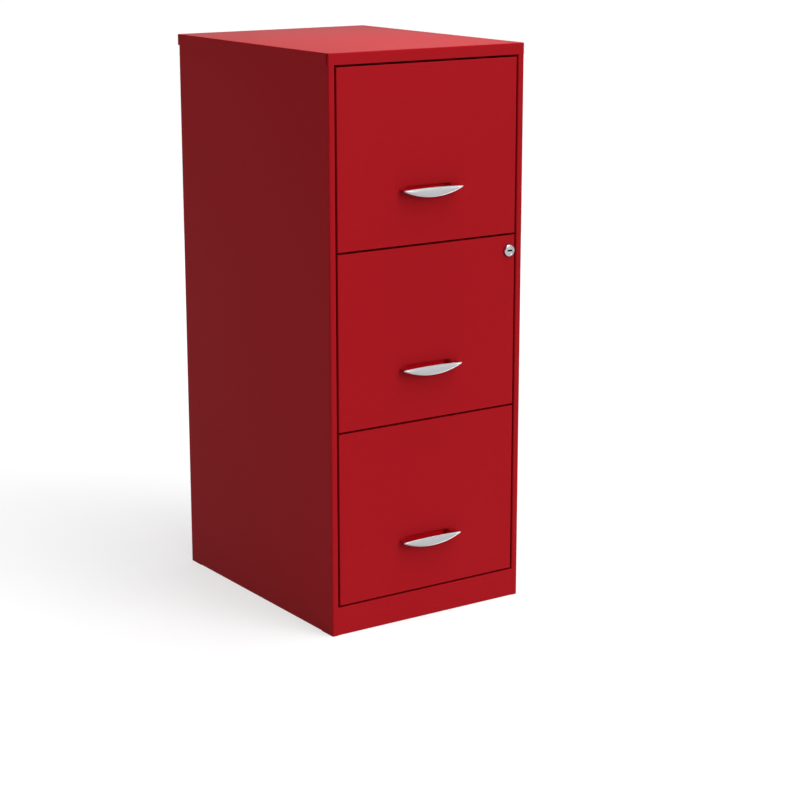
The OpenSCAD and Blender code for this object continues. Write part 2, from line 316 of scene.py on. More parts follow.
class Finish(Enum):
    """The finishes on the cabinet and its floor."""

    RED_PAINT = PowderCoat("red_powder_coat", (0.290, 0.0062, 0.0100), (0.270, 0.0052, 0.0088))
    # The pull body's moulded red, darkened below the case paint as painted shade round the cup and along the
    # crescent's upper edge.
    PULL_RED = Moulding("pull_red_moulding_painted_shade", (0.200, 0.0026, 0.0060), (0.185, 0.0022, 0.0052), 0.36, 0.08)
    # Painted light: the red inside the finger cup is about twice as bright as the body's, standing in for
    # light bounced round the hollow.
    CUP_RED = Moulding("finger_cup_painted_light_red", (0.600, 0.0030, 0.0100), (0.560, 0.0024, 0.0085), 0.42, 0.05)
    PULL_SILVER = Metal(
        "pull_satin_silver", (0.46, 0.46, 0.475), (0.42, 0.425, 0.44), 0.36, grain_height=0.002
    )
    CHROME = Metal("lock_chrome", (0.50, 0.50, 0.52), (0.45, 0.45, 0.47), 0.18, grain_height=0.0005)
    # Near black: painted shade inside the key slot, and the colour of the index mark's dimple.
    KEYWAY = Metal("lock_slot_painted_shade_and_mark", (0.015, 0.014, 0.014), (0.008, 0.008, 0.008), 0.55, metallic=0.6)
    ZINC = Metal("zinc_plate", (0.60, 0.61, 0.63), (0.50, 0.51, 0.54), 0.36, patch_scale=130.0)
    NYLON = Moulding("roller_nylon", (0.80, 0.79, 0.74), (0.74, 0.73, 0.67), 0.45, 0.4)
    FLOOR = Seamless("pale_floor", (0.36, 0.36, 0.36), (0.34, 0.34, 0.34), 0.62)


class Finishes:
    """Builds each finish once and hands it out."""

    def __init__(self) -> None:
        """Starts with nothing built."""
        self._built: dict[Finish, bpy.types.Material] = {}

    def get(self, finish: Finish) -> bpy.types.Material:
        """Looks up a finish, and builds it when it is first wanted.

        Args:
            finish: which finish.

        Returns:
            Its material.
        """
        if finish not in self._built:
            self._built[finish] = finish.value.material()
        return self._built[finish]


FINISHES = Finishes()
SLOT_FINISH = {
    "red_paint": Finish.RED_PAINT,
    "pull_body": Finish.PULL_RED,
    "pull_silver": Finish.PULL_SILVER,
    "lock_chrome": Finish.CHROME,
    "zinc_steel": Finish.ZINC,
    "roller_nylon": Finish.NYLON,
}


# ---------------------------------------------------------------- places and picks


@dataclass(frozen=True)
class Room:
    """The box that a frame node fills at rest."""

    left: float
    right: float
    front: float
    rear: float
    bottom: float
    top: float

    @classmethod
    def of(cls, node: str) -> "Room":
        """Measures a frame node."""
        low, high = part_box(node)
        return cls(*(edge / MM for pair in zip(low, high) for edge in pair))

    @property
    def middle(self) -> Point:
        """The centre of the box."""
        return (self.left + self.right) / 2, (self.front + self.rear) / 2, (self.bottom + self.top) / 2


def at(x: Span | None = None, y: Span | None = None, z: Span | None = None) -> Test:
    """Makes a test that an edge or face passes when all its corners are at these places.

    Args:
        x: the place along X, or its lowest and highest.
        y: the same along Y.
        z: the same along Z.

    Returns:
        The test.
    """

    def test(corners: list[Vector]) -> bool:
        """Compares every corner with the places asked for.

        Args:
            corners: the corners of an edge or face.

        Returns:
            Whether they are all there.
        """
        for axis, wanted in enumerate((x, y, z)):
            low, high = wanted if isinstance(wanted, tuple) else (wanted, wanted)
            if wanted is not None and any(not low - NEAR <= c[axis] <= high + NEAR for c in corners):
                return False
        return True

    return test


def either(*tests: Test) -> Test:
    """Makes a test that passes where any of the tests does."""
    return lambda corners: any(test(corners) for test in tests)


def running_back(depth: float) -> Test:
    """Makes a test that an edge passes when it runs that far from front to rear."""
    return lambda corners: abs(corners[0].y - corners[1].y) > depth - NEAR


class Part(Enum):
    """What a pick selects."""

    EDGES = "EDGE"
    FACES = "FACE"


class Axis(Enum):
    """The axis that a piece is turned about."""

    X = (1.0, 0.0, 0.0)
    Y = (0.0, 1.0, 0.0)


class Joining(Enum):
    """What one piece does to another."""

    CUT = "DIFFERENCE"
    WELD = "UNION"


# ---------------------------------------------------------------- the bench


class Bench:
    """One mesh piece under the tools. Sizes and places are given in millimetres."""

    SMOOTH = 38.0  # degrees; flatter edges are shaded smooth
    MERGE = 0.005  # vertices closer than this after a reshape become one

    def __init__(self, name: str) -> None:
        """Takes the object that was just added or copied as the piece, and applies its place.

        Args:
            name: the piece's name.
        """
        self.piece = bpy.context.active_object
        self.piece.name = name
        self.piece.data.name = name
        bpy.ops.object.transform_apply(location=True, rotation=True, scale=True)

    @staticmethod
    def _clear() -> None:
        """Deselects every object."""
        bpy.ops.object.select_all(action="DESELECT")

    @classmethod
    def block(cls, name: str, low: Point, high: Point) -> "Bench":
        """Adds a box between two opposite corners.

        Args:
            name: the piece's name.
            low: the left, front and bottom corner.
            high: the opposite corner.

        Returns:
            The box on the bench.
        """
        cls._clear()
        size = [(b - a) * MM for a, b in zip(low, high)]
        centre = [(a + b) / 2 * MM for a, b in zip(low, high)]
        bpy.ops.mesh.primitive_cube_add(size=1.0, location=centre)
        bpy.context.active_object.scale = size
        return cls(name)

    @classmethod
    def strip(cls, name: str, low: Point, high: Point) -> "Bench":
        """Adds a flat sheet between two opposite corners that share one coordinate.

        Args:
            name: the piece's name.
            low: the left, front and bottom corner.
            high: the opposite corner.

        Returns:
            The sheet on the bench.
        """
        cls._clear()
        wide, deep, tall = ((b - a) * MM for a, b in zip(low, high))
        centre = [(a + b) / 2 * MM for a, b in zip(low, high)]
        if tall < NEAR * MM:
            turn, size = (0.0, 0.0, 0.0), (wide, deep, 1.0)
        elif deep < NEAR * MM:
            turn, size = (math.pi / 2, 0.0, 0.0), (wide, tall, 1.0)
        else:
            turn, size = (0.0, math.pi / 2, 0.0), (tall, deep, 1.0)
        bpy.ops.mesh.primitive_plane_add(size=1.0, location=centre, rotation=turn)
        bpy.context.active_object.scale = size
        return cls(name)

    @classmethod
    def turned(cls, name: str, axis: Axis, centre: Point, outline: Outline, steps: int = 48) -> "Bench":
        """Turns an outline about an axis, as on a lathe.

        Args:
            name: the piece's name.
            axis: the axis that it turns about.
            centre: a point on that axis; the outline is measured from it.
            outline: each point's place along the axis and its radius.
            steps: how many faces there are round the piece.

        Returns:
            The turned piece, closed where the outline ends on the axis or where it began.
        """
        cls._clear()
        bpy.ops.mesh.primitive_plane_add(size=MM)
        lathe = cls(name)
        spindle, hub = Vector(axis.value), Vector(centre)
        points = [(hub + spindle * along + Vector((0, 0, radius))) * MM for along, radius in outline]
        bpy.ops.object.mode_set(mode="EDIT")
        bpy.ops.mesh.select_mode(type="VERT")
        bpy.ops.mesh.select_all(action="SELECT")
        bpy.ops.mesh.merge(type="CENTER")
        bpy.ops.transform.translate(value=points[0])
        for here, there in zip(points, points[1:]):
            bpy.ops.mesh.extrude_region_move(TRANSFORM_OT_translate={"value": there - here})
        bpy.ops.mesh.select_all(action="SELECT")
        bpy.ops.mesh.spin(steps=steps, angle=2 * math.pi, center=hub * MM, axis=spindle)
        bpy.ops.mesh.select_all(action="SELECT")
        bpy.ops.mesh.remove_doubles(threshold=NEAR * MM)
        bpy.ops.mesh.normals_make_consistent(inside=False)
        bpy.ops.object.mode_set(mode="OBJECT")
        return lathe

    def focus(self) -> None:
        """Makes the piece the only selected object and the active one."""
        self._clear()
        self.piece.select_set(True)
        bpy.context.view_layer.objects.active = self.piece

    def run(self, tool: Any, whole: bool = False, **settings: Any) -> "Bench":
        """Uses one edit-mode tool.

        Args:
            tool: the operator.
            whole: whether it works on the whole mesh and not only on what is picked.
            settings: the operator's own settings.

        Returns:
            The piece.
        """
        self.focus()
        bpy.ops.object.mode_set(mode="EDIT")
        if whole:
            bpy.ops.mesh.select_all(action="SELECT")
        tool(**settings)
        bpy.ops.object.mode_set(mode="OBJECT")
        return self

    def pick(self, kind: Part, test: Test, fold: float = 0.0) -> "Bench":
        """Selects the edges or faces that pass a test.

        Args:
            kind: which of the two.
            test: looks at the corners of each.
            fold: an edge has to fold by more than these degrees, if they aren't 0.

        Returns:
            The piece.
        """
        self.focus()
        bpy.ops.object.mode_set(mode="EDIT")
        bpy.ops.mesh.select_mode(type=kind.value)
        bpy.ops.mesh.select_all(action="DESELECT")
        work = bmesh.from_edit_mesh(self.piece.data)
        for part in {Part.EDGES: work.edges, Part.FACES: work.faces}[kind]:
            folded = not fold or (len(part.link_faces) == 2 and part.calc_face_angle() > math.radians(fold))
            if folded and test([corner.co / MM for corner in part.verts]):
                part.select_set(True)
        bmesh.update_edit_mesh(self.piece.data)
        bpy.ops.object.mode_set(mode="OBJECT")
        return self

    def pick_folds(self, test: Test) -> "Bench":
        """Selects the folds that pass a test."""
        return self.pick(Part.EDGES, test, SHARP)

    def extrude(self, x: float = 0.0, y: float = 0.0, z: float = 0.0) -> "Bench":
        """Draws what is picked out by a distance along each axis."""
        way = {"value": (x * MM, y * MM, z * MM)}
        return self.run(bpy.ops.mesh.extrude_region_move, TRANSFORM_OT_translate=way)

    def cut(self, **place: float) -> "Bench":
        """Scores the whole piece along a plane, for later picks.

        Args:
            place: x, y or z, and where the plane crosses that axis.

        Returns:
            The piece.
        """
        (axis, where), = place.items()
        normal = Vector([float(name == axis) for name in "xyz"])
        return self.run(bpy.ops.mesh.bisect, whole=True, plane_co=normal * where * MM, plane_no=normal)

    def drop_faces(self) -> "Bench":
        """Deletes the faces that are picked."""
        return self.run(bpy.ops.mesh.delete, type="FACE")

    def bevel(self, width: float, steps: int = 3) -> "Bench":
        """Rounds the edges that are picked."""
        size = {"offset": width * MM, "segments": steps}
        return self.run(bpy.ops.mesh.bevel, affect="EDGES", clamp_overlap=False, **size)

    def modify(self, kind: str, **settings: Any) -> "Bench":
        """Adds a modifier and applies it.

        Args:
            kind: the modifier's type.
            settings: its own settings.

        Returns:
            The piece.
        """
        self.focus()
        modifier = self.piece.modifiers.new(kind.title(), kind)
        for name, value in settings.items():
            setattr(modifier, name, value)
        bpy.ops.object.modifier_apply(modifier=modifier.name)
        return self

    def thicken(self, thickness: float) -> "Bench":
        """Gives a sheet its thickness, half on each side of the surface that was drawn."""
        self.run(bpy.ops.mesh.normals_make_consistent, whole=True, inside=False)
        return self.modify("SOLIDIFY", thickness=thickness * MM, offset=0.0, use_even_offset=True)

    def combine(self, other: "Bench", joining: Joining = Joining.CUT) -> "Bench":
        """Cuts another piece out of this one, or welds it on, and uses it up.

        Args:
            other: the other piece.
            joining: which of the two.

        Returns:
            The piece.
        """
        self.modify("BOOLEAN", operation=joining.value, object=other.piece, solver="EXACT")
        bpy.data.objects.remove(other.piece, do_unlink=True)
        return self

    def soften(self, width: float, steps: int = 2) -> "Bench":
        """Rounds every sharp edge a little."""
        limit = {"limit_method": "ANGLE", "angle_limit": math.radians(SHARP)}
        return self.modify("BEVEL", width=width * MM, segments=steps, use_clamp_overlap=True, **limit)

    def reshape(self, rule: Callable[[Vector], Vector]) -> "Bench":
        """Moves every vertex by a rule.

        Args:
            rule: gives a vertex's new place from its old one, in millimetres.

        Returns:
            The piece.
        """
        self.focus()
        bpy.ops.object.mode_set(mode="EDIT")
        work = bmesh.from_edit_mesh(self.piece.data)
        for corner in work.verts:
            corner.co = rule(corner.co / MM) * MM
        bmesh.update_edit_mesh(self.piece.data)
        bpy.ops.mesh.select_all(action="SELECT")
        bpy.ops.mesh.remove_doubles(threshold=self.MERGE * MM)
        bpy.ops.object.mode_set(mode="OBJECT")
        return self

    def keep_within(self, room: Room) -> "Bench":
        """Pushes back whatever stands proud of a box.

        Args:
            room: the box of the frame node that the piece stands for.

        Returns:
            The piece.
        """
        low = (room.left, room.front, room.bottom)
        high = (room.right, room.rear, room.top)
        return self.reshape(lambda spot: Vector(sorted(trio)[1] for trio in zip(low, spot, high)))

    def copy(self, name: str, shift: Point = (0.0, 0.0, 0.0), mirrored: bool = False) -> "Bench":
        """Copies the piece with its own mesh.

        Args:
            name: the copy's name.
            shift: how far the copy is moved.
            mirrored: whether it is mirrored to the other side of the cabinet first.

        Returns:
            The copy on the bench.
        """
        self.focus()
        bpy.ops.object.duplicate()
        bpy.context.active_object.location = Vector(shift) * MM
        if mirrored:
            bpy.context.active_object.scale = (-1.0, 1.0, 1.0)
        twin = Bench(name)
        if mirrored:
            twin.run(bpy.ops.mesh.normals_make_consistent, whole=True, inside=False)
        return twin

    def paint_inside(self, finish: Finish, test: Test) -> "Bench":
        """Gives a second finish to some faces.

        Args:
            finish: the second finish.
            test: looks at the corners of each face.

        Returns:
            The piece.
        """
        self.piece.data.materials.append(FINISHES.get(finish))
        last = len(self.piece.data.materials) - 1
        corners = self.piece.data.vertices
        for face in self.piece.data.polygons:
            if test([corners[index].co / MM for index in face.vertices]):
                face.material_index = last
        return self

    def hand_in(self, body: str, slot: str, *nodes: str) -> "Bench":
        """Smooths the piece, finishes it and puts it on its body in place of frame nodes.

        Args:
            body: the frame body that it rides on.
            slot: the record's material slot.
            nodes: the frame nodes that it stands for.

        Returns:
            The piece, for any second finish.
        """
        self.focus()
        bpy.ops.object.shade_smooth_by_angle(angle=math.radians(self.SMOOTH))
        self.modify("WEIGHTED_NORMAL", keep_sharp=True)
        self.piece.data.materials.clear()
        self.piece.data.materials.append(FINISHES.get(SLOT_FINISH[slot]))
        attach(self.piece, body)
        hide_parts(*nodes)
        LOG.info("%s rides on %s, %d faces", self.piece.name, body, len(self.piece.data.polygons))
        return self


# ---------------------------------------------------------------- sub-assemblies


@dataclass
class Case:
    """The welded case: side panels, cap, kick plate, base rail and cross rails."""

    sheet: float = 0.6
    bend_r: float = 2.2
    cap_bend_r: float = 1.3
    return_d: float = 34.0
    header_return: float = 4.6
    seam: float = 0.4
    header_ledge: float = 19.0
    floor_flange: float = 20.0
    rail_lip: float = 10.5
    rail_drop: float = 17.5

    def __post_init__(self) -> None:
        """Measures the frame's case."""
        self.half = self.sheet / 2
        self.cap = Room.of("top_cap")
        self.panel = Room.of("right_side_panel")
        self.kick = Room.of("kick_plate")
        self.flush = self.panel.right - self.half
        self.face = self.kick.front + self.half

    def folded(self, sheet: Bench, radius: float | None = None) -> Bench:
        """Rounds a sheet's folds and gives it its thickness."""
        sheet.pick_folds(at()).bevel((radius or self.bend_r) - self.half)
        return sheet.thicken(self.sheet)

    def side_panels(self) -> None:
        """Folds the right side panel from its front return round to its rear one, and mirrors it."""
        jamb, top = self.kick.right + self.half, self.cap.bottom + self.half
        low, strip = self.panel.bottom + self.half, Room.of("back_panel").front - self.half
        first, last = self.kick.front + self.return_d, self.panel.rear - self.return_d
        clear = self.kick.front + self.header_return + self.seam
        panel = Bench.strip("right_side_panel_sheet", (jamb, self.face, low), (jamb, first, top))
        panel.pick(Part.EDGES, at(y=self.face)).extrude(x=self.flush - jamb)
        panel.extrude(y=strip - self.face).extrude(x=jamb - self.flush).extrude(y=last - strip)
        panel.cut(y=clear).cut(y=first).cut(y=last)
        panel.pick(Part.EDGES, at(self.flush, (clear, strip), top)).extrude(z=self.panel.top - top)
        panel.pick(Part.EDGES, at(self.flush, (first, last), low)).extrude(x=self.half - self.floor_flange)
        self.folded(panel)
        left = panel.copy("left_side_panel_sheet", mirrored=True)
        panel.hand_in("cabinet", "red_paint", "right_side_panel")
        left.hand_in("cabinet", "red_paint", "left_side_panel")

    def top_cap(self) -> None:
        """Folds the cap: top, skirts with a notch at each front corner, header and its ledge."""
        wide, top, rear = self.cap.right - self.half, self.cap.top - self.half, self.cap.rear - self.half
        low, jamb, flush = self.cap.bottom + self.half, self.kick.right, self.flush
        notch = self.cap.front + self.header_return
        clear = notch + self.seam
        cap = Bench.strip("top_cap_sheet", (-wide, self.face, top), (wide, rear, top))
        for x in (-flush, -jamb, jamb, flush):
            cap.cut(x=x)
        cap.cut(y=notch).cut(y=clear)
        corner = (self.face, clear)
        cap.pick(Part.FACES, either(at((flush, wide), corner), at((-wide, -flush), corner))).drop_faces()
        returns = either(at(flush, (self.face, notch)), at(-flush, (self.face, notch)))
        skirts = either(at(x=wide), at(x=-wide), at(y=rear), at(y=self.face))
        cap.pick(Part.EDGES, either(returns, skirts)).extrude(z=low - top)
        cap.pick(Part.EDGES, at((-jamb, jamb), self.face, low)).extrude(y=self.header_ledge - self.half)
        self.folded(cap, self.cap_bend_r).keep_within(self.cap).hand_in("cabinet", "red_paint", "top_cap")

    def kick_plate(self) -> None:
        """Folds the kick plate, which laps the stiles' rounded inner edges."""
        room, reach = self.kick, self.kick.right + self.bend_r - self.half
        low, top = room.bottom + self.half, room.top - self.half
        plate = Bench.strip("kick_plate_sheet", (-reach, self.face, low), (reach, self.face, top))
        plate.cut(x=room.left).cut(x=room.right)
        inner = (room.left, room.right)
        plate.pick(Part.EDGES, at(inner, self.face, top)).extrude(y=self.header_ledge - self.half)
        plate.pick(Part.EDGES, at(inner, self.face, low)).extrude(y=room.rear - self.face)
        self.folded(plate).hand_in("cabinet", "red_paint", "kick_plate")

    def base_rail(self) -> None:
        """Folds the angle across the rear of the floor."""
        room = Room.of("base_rail")
        low, back = room.bottom + self.half, room.rear - self.half
        rail = Bench.strip("base_rail_sheet", (room.left, back, low), (room.right, back, room.top))
        rail.pick(Part.EDGES, at(z=low)).extrude(y=room.front - back)
        self.folded(rail).hand_in("cabinet", "red_paint", "base_rail")

    def cross_rails(self) -> None:
        """Folds the two channels between the drawers."""
        lower, upper = Room.of("lower_cross_rail"), Room.of("upper_cross_rail")
        front, top = lower.front + self.half, lower.top - self.half
        low = (lower.left, front, lower.top - self.rail_lip)
        rail = Bench.strip("lower_cross_rail_sheet", low, (lower.right, front, top))
        rail.pick(Part.EDGES, at(z=top)).extrude(y=lower.rear - self.half - front)
        rail.extrude(z=self.half - self.rail_drop)
        self.folded(rail)
        twin = rail.copy("upper_cross_rail_sheet", (0.0, 0.0, upper.top - lower.top))
        rail.hand_in("cabinet", "red_paint", "lower_cross_rail")
        twin.hand_in("cabinet", "red_paint", "upper_cross_rail")

    def build(self) -> None:
        """Makes every sheet of the case."""
        self.side_panels()
        self.top_cap()
        self.kick_plate()
        self.base_rail()
        self.cross_rails()


@dataclass
class Pull:
    """An arched pull: a silver crescent on a moulded body, with a finger cup behind the front."""

    rise: float = 2.7
    sag: float = 12.4
    tip_r: float = 1.25
    plate_t: float = 0.9
    plate_gap: float = 0.1
    body_inset: float = 0.2
    body_edge_r: float = 0.35
    wall: float = 1.8
    cup_w: float = 86.0
    cup_rise: float = 6.5
    cup_drop: float = 7.0
    cup_r: float = 5.0
    cup_wall: float = 1.6
    cup_slack: float = 0.2
    cup_lap: float = 0.02
    cup_steps: int = 6
    mouth_rise: float = 10.8
    mouth_drop: float = 1.0
    columns: int = 56
    # the plate's section, from its edge to its middle: the distance in, the most of the half height
    # that this may be where the crescent is narrow, and the depth behind the rim
    section: tuple[Point, ...] = (
        (0.0, 0.0, 0.9),
        (0.12, 0.08, 0.35),
        (0.45, 0.25, 0.0),
        (0.95, 0.45, 0.0),
        (1.25, 0.58, 0.35),
        (3.2, 0.80, 0.08),
        (20.0, 1.0, -0.05),
    )

    def __post_init__(self) -> None:
        """Works out the crescent's two arcs, which end in round tips."""
        room = Room.of("bottom_drawer_pull_face")
        self.reach, self.tips = room.right, room.top - self.rise
        self.face = room.front
        self.panel = Room.of("bottom_drawer_front").front
        self.cup_rear = Room.of("bottom_drawer_pull").rear
        self.tip_x = self.reach - self.tip_r
        self.rise_r = self._arc(self.rise)
        self.sag_r = self._arc(self.sag)

    def _arc(self, height: float) -> float:
        """Returns the radius of the arc that stands that high and runs into the tips' rounds."""
        return (self.tip_x**2 + height**2 - self.tip_r**2) / (2 * (height - self.tip_r))

    def _edge(self, x: float, height: float, radius: float) -> float:
        """Finds how far an edge stands from the level of the tips.

        Args:
            x: the place across.
            height: how far the edge's arc stands in the middle.
            radius: that arc's radius.

        Returns:
            The distance, which is 0 at the end of a tip.
        """
        if abs(x) < self.tip_x * radius / (radius - self.tip_r):
            return height - radius + math.sqrt(radius**2 - x**2)
        return math.sqrt(max(0.0, self.tip_r**2 - (abs(x) - self.tip_x) ** 2))

    def _crescent(self, name: str, rows: int, place: Place) -> Bench:
        """Lays a grid over the crescent.

        Args:
            name: the piece's name.
            rows: how many rows of faces run across it.
            place: gives height and depth from the upper edge, the lower edge and the row.

        Returns:
            The sheet on the bench, facing the front.
        """
        bpy.ops.object.select_all(action="DESELECT")
        bpy.ops.mesh.primitive_grid_add(
            x_subdivisions=self.columns, y_subdivisions=rows, size=2.0 * MM, rotation=(math.pi / 2, 0.0, 0.0)
        )

        def rule(spot: Vector) -> Vector:
            """Puts one vertex of the grid in its place.

            Args:
                spot: where the vertex is in the flat grid.

            Returns:
                Where it is on the crescent.
            """
            x = self.reach * math.sin(spot.x * math.pi / 2)
            upper, lower = self._edge(x, self.rise, self.rise_r), -self._edge(x, self.sag, self.sag_r)
            height, depth = place(upper, lower, round((spot.z + 1) / 2 * rows))
            return Vector((x, depth, self.tips + height))

        return Bench(name).reshape(rule)

    def plate(self) -> Bench:
        """Shapes the silver face: a raised rim round a slightly crowned middle.

        Returns:
            The bottom drawer's plate.
        """
        rows = 2 * len(self.section) - 2

        def place(upper: float, lower: float, row: int) -> tuple[float, float]:
            """Steps in from the nearer edge by the section.

            Args:
                upper: the height of the upper edge.
                lower: the height of the lower edge.
                row: the number of the row of vertices, from the bottom.

            Returns:
                The height and the depth.
            """
            distance, share, depth = self.section[min(row, rows - row)]
            step = min(distance, share * (upper - lower) / 2)
            return (lower + step if row <= rows / 2 else upper - step), self.face + depth

        plate = self._crescent("bottom_pull_plate", rows, place)
        return plate.modify("SOLIDIFY", thickness=self.plate_t * MM, offset=-1.0)

    def cup(self, name: str, grow: float, front: float, rear: float) -> Bench:
        """Makes the cup's outline solid: a bar with four round corners.

        Args:
            name: the piece's name.
            grow: how much it is larger than the cup all round.
            front: where it begins along Y.
            rear: where it ends.

        Returns:
            The bar on the bench.
        """
        half = self.cup_w / 2 + grow
        low = (-half, front, self.tips - self.cup_drop - grow)
        bar = Bench.block(name, low, (half, rear, self.tips + self.cup_rise + grow))
        return bar.pick(Part.EDGES, running_back(rear - front)).bevel(self.cup_r + grow, self.cup_steps)

    def body(self) -> Bench:
        """Shapes the moulded body and hollows it from above into the cup.

        Returns:
            The bottom drawer's body.
        """
        start = self.face + self.plate_t + self.plate_gap

        def place(upper: float, lower: float, row: int) -> tuple[float, float]:
            """Takes the lower or the upper edge, a little inside the plate's.

            Args:
                upper: the height of the upper edge.
                lower: the height of the lower edge.
                row: the number of the row of vertices, from the bottom.

            Returns:
                The height and the depth.
            """
            inset = min(self.body_inset, (upper - lower) / 4)
            return (upper - inset if row else lower + inset), start

        body = self._crescent("bottom_pull_body", 1, place)
        body.modify("SOLIDIFY", thickness=(self.panel - start) * MM, offset=-1.0)
        cup = self.cup("cup", -self.cup_slack, self.panel - self.cup_lap, self.cup_rear)
        body.combine(cup, Joining.WELD)
        body.combine(self.cup("hollow", -self.cup_wall, start + self.wall, self.cup_rear - self.cup_wall))
        half = self.cup_w / 2 - self.cup_wall
        low = (-half, start + self.wall, self.tips - self.mouth_drop)
        body.combine(Bench.block("mouth", low, (half, self.panel, self.tips + self.mouth_rise)))
        return body.soften(self.body_edge_r)

    def build(self) -> None:
        """Makes one pull and copies it to every drawer."""
        plate, body = self.plate(), self.body()
        base = Room.of("bottom_drawer_front").bottom
        half = self.cup_w / 2 - self.cup_wall
        front, rear = self.face + self.plate_t + self.wall, self.cup_rear - self.cup_wall
        for drawer in ("top", "middle", "bottom"):
            up = Room.of(f"{drawer}_drawer_front").bottom - base
            last = drawer == "bottom"
            silver = plate if last else plate.copy(f"{drawer}_pull_plate", (0.0, 0.0, up))
            silver.hand_in(f"{drawer}_drawer", "pull_silver", f"{drawer}_drawer_pull_face")
            red = body if last else body.copy(f"{drawer}_pull_body", (0.0, 0.0, up))
            red.hand_in(f"{drawer}_drawer", "pull_body", f"{drawer}_drawer_pull")
            level = self.tips + up
            tall = (level - self.cup_drop + self.cup_wall, level + self.cup_rise - self.cup_wall)
            # The faces inside the cup get the brighter red: painted light in the hollow.
            red.paint_inside(Finish.CUP_RED, at((-half, half), (front, rear), tall))


@dataclass
class Drawers:
    """The three drawers' folded fronts and trays."""

    pull: Pull
    sheet: float = 0.6
    bend_r: float = 1.6
    hem: float = 10.0
    hem_gap: float = 0.1
    hem_r: float = 0.33
    barrel_r: float = 8.0

    def fronts(self) -> None:
        """Folds one front as a pan with an opening for the pull's cup, and copies it."""
        room, half = Room.of("bottom_drawer_front"), self.sheet / 2
        face = room.front + half
        low = (room.left + half, face, room.bottom + half)
        pan = Bench.strip("bottom_front_pan", low, (room.right - half, face, room.top - half))
        rims = [at(x=low[0]), at(x=-low[0]), at(z=low[2]), at(z=room.top - half)]
        pan.pick(Part.EDGES, either(*rims)).extrude(y=room.rear - face)
        pan.pick_folds(at(y=face)).bevel(self.bend_r - half)
        pan.thicken(self.sheet)
        pan.combine(self.pull.cup("opening", 0.0, room.front - PAST, room.front + PAST))
        for drawer in ("middle", "top"):
            shift = (0.0, 0.0, Room.of(f"{drawer}_drawer_front").bottom - room.bottom)
            twin = pan.copy(f"{drawer}_front_pan", shift)
            if drawer == "middle":
                x, _, z = Room.of("lock_housing").middle
                ends = (room.front - PAST, room.front + PAST)
                outline = [(ends[0], 0.0), (ends[0], self.barrel_r), (ends[1], self.barrel_r), (ends[1], 0.0)]
                twin.combine(Bench.turned("drill", Axis.Y, (x, 0.0, z), outline))
            twin.hand_in(f"{drawer}_drawer", "red_paint", f"{drawer}_drawer_front")
        pan.hand_in("bottom_drawer", "red_paint", "bottom_drawer_front")

    def trays(self) -> None:
        """Folds one tray with hems that hanging files ride on, and copies it."""
        room, half = Room.of("bottom_drawer_tray"), self.sheet / 2
        side, step = room.right - self.sheet - half, self.sheet + self.hem_gap
        low, top = room.bottom + half, room.top - half
        tray = Bench.strip("bottom_tray_sheet", (-side, room.front, low), (side, room.rear, low))
        for way in (1.0, -1.0):
            tray.pick(Part.EDGES, at(x=way * side, z=low)).extrude(z=top - low)
            tray.extrude(x=way * step).extrude(z=half - self.hem)
        tray.pick_folds(at(z=low)).bevel(self.bend_r - half)
        tray.pick_folds(at(z=top)).bevel(self.hem_r, 2)
        tray.thicken(self.sheet)
        for drawer in ("middle", "top"):
            shift = (0.0, 0.0, Room.of(f"{drawer}_drawer_tray").bottom - room.bottom)
            twin = tray.copy(f"{drawer}_tray_sheet", shift)
            twin.hand_in(f"{drawer}_drawer", "red_paint", f"{drawer}_drawer_tray")
        tray.hand_in("bottom_drawer", "red_paint", "bottom_drawer_tray")

    def build(self) -> None:
        """Makes the fronts and trays."""
        self.fronts()
        self.trays()


